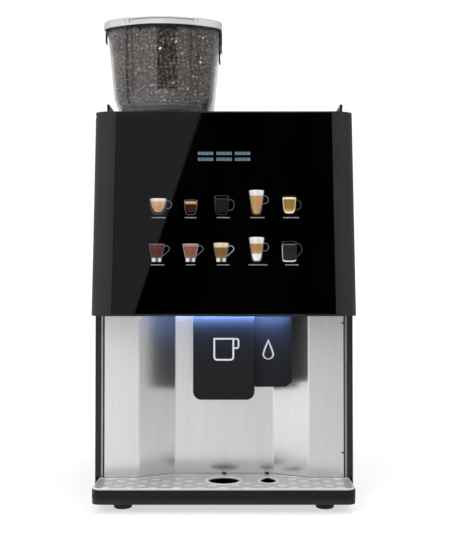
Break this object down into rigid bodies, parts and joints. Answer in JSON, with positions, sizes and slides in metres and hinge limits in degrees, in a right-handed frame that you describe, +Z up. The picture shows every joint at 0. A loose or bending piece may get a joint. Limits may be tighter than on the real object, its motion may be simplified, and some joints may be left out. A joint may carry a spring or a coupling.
{
  "type": "hot coffee vending machine",
  "caption": "Table-top bean-to-cup hot drinks machine: glass-fronted door, bean hopper, cup recess with spout covers and a drip tray, with the works inside.",
  "frame": {"origin": "centre of the footprint at the underside of the feet", "axes": "+Z up, -Y the front with the door and the cup recess, +X to the right seen from the front"},
  "size_m": [0.39, 0.5396, 0.727],
  "materials": {
    "black_sheet": "satin black powder coat with a fine texture",
    "charcoal_shell": "matte charcoal moulding with a fine grain",
    "black_plastic": "satin black moulding",
    "brushed_panel": "upright brushed stainless steel",
    "steel": "plain stainless steel",
    "zinc_sheet": "bare zinc-plated sheet",
    "black_glass": "glossy black-backed glass with printed drink pictures",
    "clear_plastic": "clear moulded plastic",
    "lid_plastic": "translucent grey-white plastic",
    "beans": "dark roasted coffee beans",
    "rubber": "black moulded rubber",
    "canister_plastic": "milky translucent plastic",
    "food_plastic": "food-grade moulding",
    "motor_case": "dark motor case",
    "circuit_board": "green circuit board",
    "led": "blue-white light bar",
    "hose": "milky silicone hose"
  },
  "bodies": {
    "cabinet": {"base_plate": "black_sheet", "boiler": "steel", "brew_chamber": "food_plastic", "brewer_frame": "zinc_sheet", "brewer_motor": "steel", "chassis_deck": "zinc_sheet", "chocolate_canister": "canister_plastic", "coffee_beans": "beans", "coffee_hose": "hose", "coffee_spout": "black_plastic", "front_left_foot": "rubber", "front_right_foot": "rubber", "grinder_housing": "motor_case", "grinder_motor": "motor_case", "hopper_body": "clear_plastic", "hopper_collar": "black_plastic", "hot_water_spout": "steel", "left_side_panel": "black_sheet", "left_top_rail": "black_sheet", "lower_hinge_bracket": "steel", "milk_canister": "canister_plastic", "mixing_bowl": "food_plastic", "power_inlet": "black_plastic", "power_supply": "steel", "rear_left_foot": "rubber", "rear_panel": "zinc_sheet", "rear_right_foot": "rubber", "right_side_panel": "black_sheet", "right_top_rail": "black_sheet", "splash_panel": "brushed_panel", "top_cover": "black_sheet", "upper_burr": "steel", "upper_hinge_bracket": "steel", "waste_bin": "black_plastic", "water_hose": "hose", "water_pump": "motor_case", "whipper_motor": "steel"},
    "door": {"door_frame": "charcoal_shell", "glass_panel": "black_glass", "control_board": "circuit_board", "led_strip": "led", "door_inner_panel": "zinc_sheet"},
    "lock": {"lock_cam": "steel"},
    "tray": {"drip_tray": "black_plastic"},
    "grille": {"drip_grille": "brushed_panel"},
    "cup_cover": {"cup_spout_cover": "black_plastic"},
    "water_cover": {"water_spout_cover": "black_plastic"},
    "flap": {"service_flap": "black_sheet"},
    "lid": {"hopper_lid": "lid_plastic"},
    "latch": {"lid_latch": "black_plastic"},
    "gate": {"hopper_gate": "steel"},
    "burr": {"lower_burr": "steel"},
    "spindle": {"brew_spindle": "steel"},
    "piston": {"brew_piston": "food_plastic"},
    "pinion": {"drive_pinion": "steel"},
    "milk_auger": {"milk_auger": "food_plastic"},
    "chocolate_auger": {"chocolate_auger": "food_plastic"},
    "whipper": {"whipper_impeller": "food_plastic"},
    "switch": {"power_switch": "black_plastic"},
    "fan": {"rear_fan": "black_plastic"}
  },
  "joints": [
    {"name": "door_hinge", "type": "hinge", "parent": "cabinet", "child": "door", "pos_m": [-0.19, -0.195, 0.43], "axis": [0, 0, 1], "range_deg": [-95, 0]},
    {"name": "lock_turn", "type": "hinge", "parent": "door", "child": "lock", "pos_m": [0.184, -0.204, 0.43], "axis": [1, 0, 0], "range_deg": [-90, 0]},
    {"name": "tray_slide", "type": "slide", "parent": "cabinet", "child": "tray", "axis": [0, -1, 0], "range_m": [0, 0.09]},
    {"name": "grille_lift", "type": "slide", "parent": "tray", "child": "grille", "axis": [0, 0, 1], "range_m": [0, 0.03]},
    {"name": "cup_cover_pull", "type": "slide", "parent": "cabinet", "child": "cup_cover", "axis": [0, -1, 0], "range_m": [0, 0.06]},
    {"name": "water_cover_pull", "type": "slide", "parent": "cabinet", "child": "water_cover", "axis": [0, -1, 0], "range_m": [0, 0.06]},
    {"name": "flap_hinge", "type": "hinge", "parent": "cabinet", "child": "flap", "pos_m": [0.097, 0.136, 0.5926], "axis": [1, 0, 0], "range_deg": [-105, 0]},
    {"name": "lid_lift", "type": "slide", "parent": "cabinet", "child": "lid", "axis": [0, 0, 1], "range_m": [0, 0.08]},
    {"name": "latch_swing", "type": "hinge", "parent": "lid", "child": "latch", "pos_m": [-0.006, -0.143, 0.71], "axis": [0, 1, 0], "range_deg": [-35, 0]},
    {"name": "gate_slide", "type": "slide", "parent": "cabinet", "child": "gate", "axis": [0, -1, 0], "range_m": [0, 0.061]},
    {"name": "burr_spin", "type": "hinge", "parent": "cabinet", "child": "burr", "pos_m": [-0.093, -0.143, 0.54], "axis": [0, 0, 1], "continuous": true},
    {"name": "spindle_turn", "type": "hinge", "parent": "cabinet", "child": "spindle", "pos_m": [-0.052, -0.085, 0.35], "axis": [0, 0, 1], "range_deg": [0, 900]},
    {"name": "piston_slide", "type": "slide", "parent": "cabinet", "child": "piston", "axis": [0, 0, 1], "range_m": [0, 0.025]},
    {"name": "pinion_turn", "type": "hinge", "parent": "cabinet", "child": "pinion", "pos_m": [-0.052, -0.0637, 0.416], "axis": [0, 0, 1], "range_deg": [-1801, 0]},
    {"name": "milk_auger_spin", "type": "hinge", "parent": "cabinet", "child": "milk_auger", "pos_m": [0.057, 0, 0.4], "axis": [0, 1, 0], "continuous": true},
    {"name": "chocolate_auger_spin", "type": "hinge", "parent": "cabinet", "child": "chocolate_auger", "pos_m": [0.133, 0, 0.4], "axis": [0, 1, 0], "continuous": true},
    {"name": "whipper_spin", "type": "hinge", "parent": "cabinet", "child": "whipper", "pos_m": [0.095, -0.101, 0.31], "axis": [0, 0, 1], "continuous": true},
    {"name": "switch_rock", "type": "hinge", "parent": "cabinet", "child": "switch", "pos_m": [-0.103, 0.263, 0.0625], "axis": [1, 0, 0], "range_deg": [-14, 0]},
    {"name": "fan_spin", "type": "hinge", "parent": "cabinet", "child": "fan", "pos_m": [0.105, 0.255, 0.505], "axis": [0, 1, 0], "continuous": true}
  ],
  "couplings": [
    {"joint": "piston_slide", "follows": "spindle_turn", "m_per_rad": 0.00159},
    {"joint": "pinion_turn", "follows": "spindle_turn", "ratio": -2}
  ]
}
